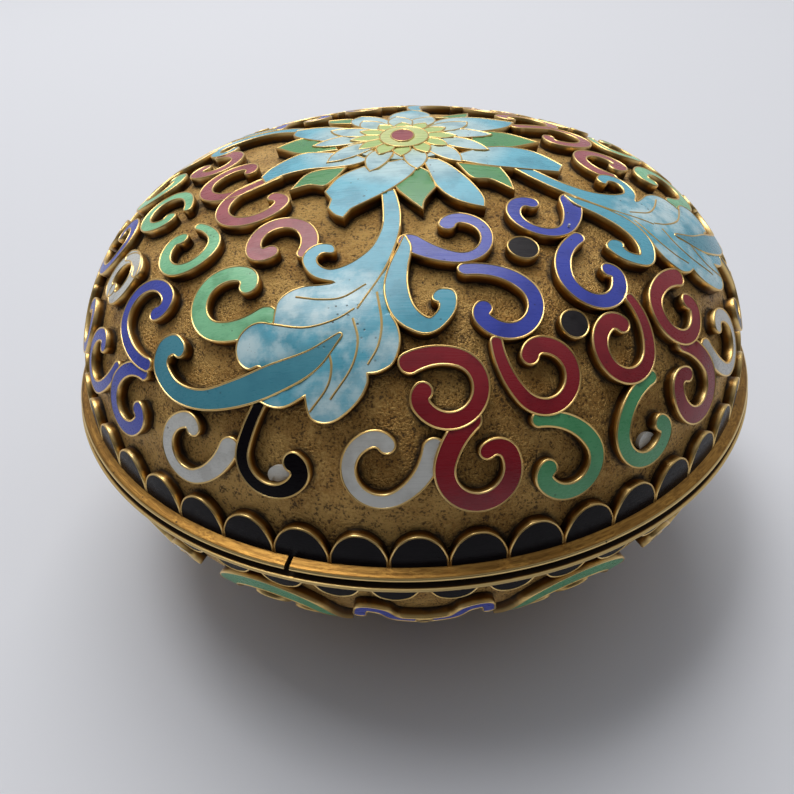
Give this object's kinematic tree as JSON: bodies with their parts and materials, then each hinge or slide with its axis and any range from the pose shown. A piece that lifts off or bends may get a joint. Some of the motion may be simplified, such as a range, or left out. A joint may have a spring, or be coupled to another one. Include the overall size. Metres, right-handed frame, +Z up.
{
  "type": "cloisonne enamel box",
  "caption": "Round lidded box with a low domed lid, gilt rim bands, a foot ring, and raised enamel cells: a lotus, leaf sprays, scrolls and lappet borders.",
  "frame": {"origin": "on the box's axis, at the underside of the foot ring", "axes": "+Z up along the axis, through the middle of the lid; -Y is the front"},
  "size_m": [0.07, 0.07, 0.041],
  "materials": {
    "gilt_ground": "fine-grained gilt ground, darkened in the crevices",
    "gilt_rim": "polished gilt with fine scratches",
    "wire": "polished gilt cell wire",
    "enamel_turquoise": "polished opaque enamel, mottled with white",
    "enamel_cobalt": "polished opaque enamel",
    "enamel_red": "polished opaque enamel",
    "enamel_green": "polished opaque enamel",
    "enamel_white": "polished opaque enamel",
    "enamel_black": "polished opaque enamel"
  },
  "bodies": {
    "root": {"foot_ring": "gilt_rim", "bowl": "gilt_ground", "base_rim": "gilt_rim", "lid_rim": "gilt_rim", "lid": "gilt_ground"}
  },
  "joints": []
}
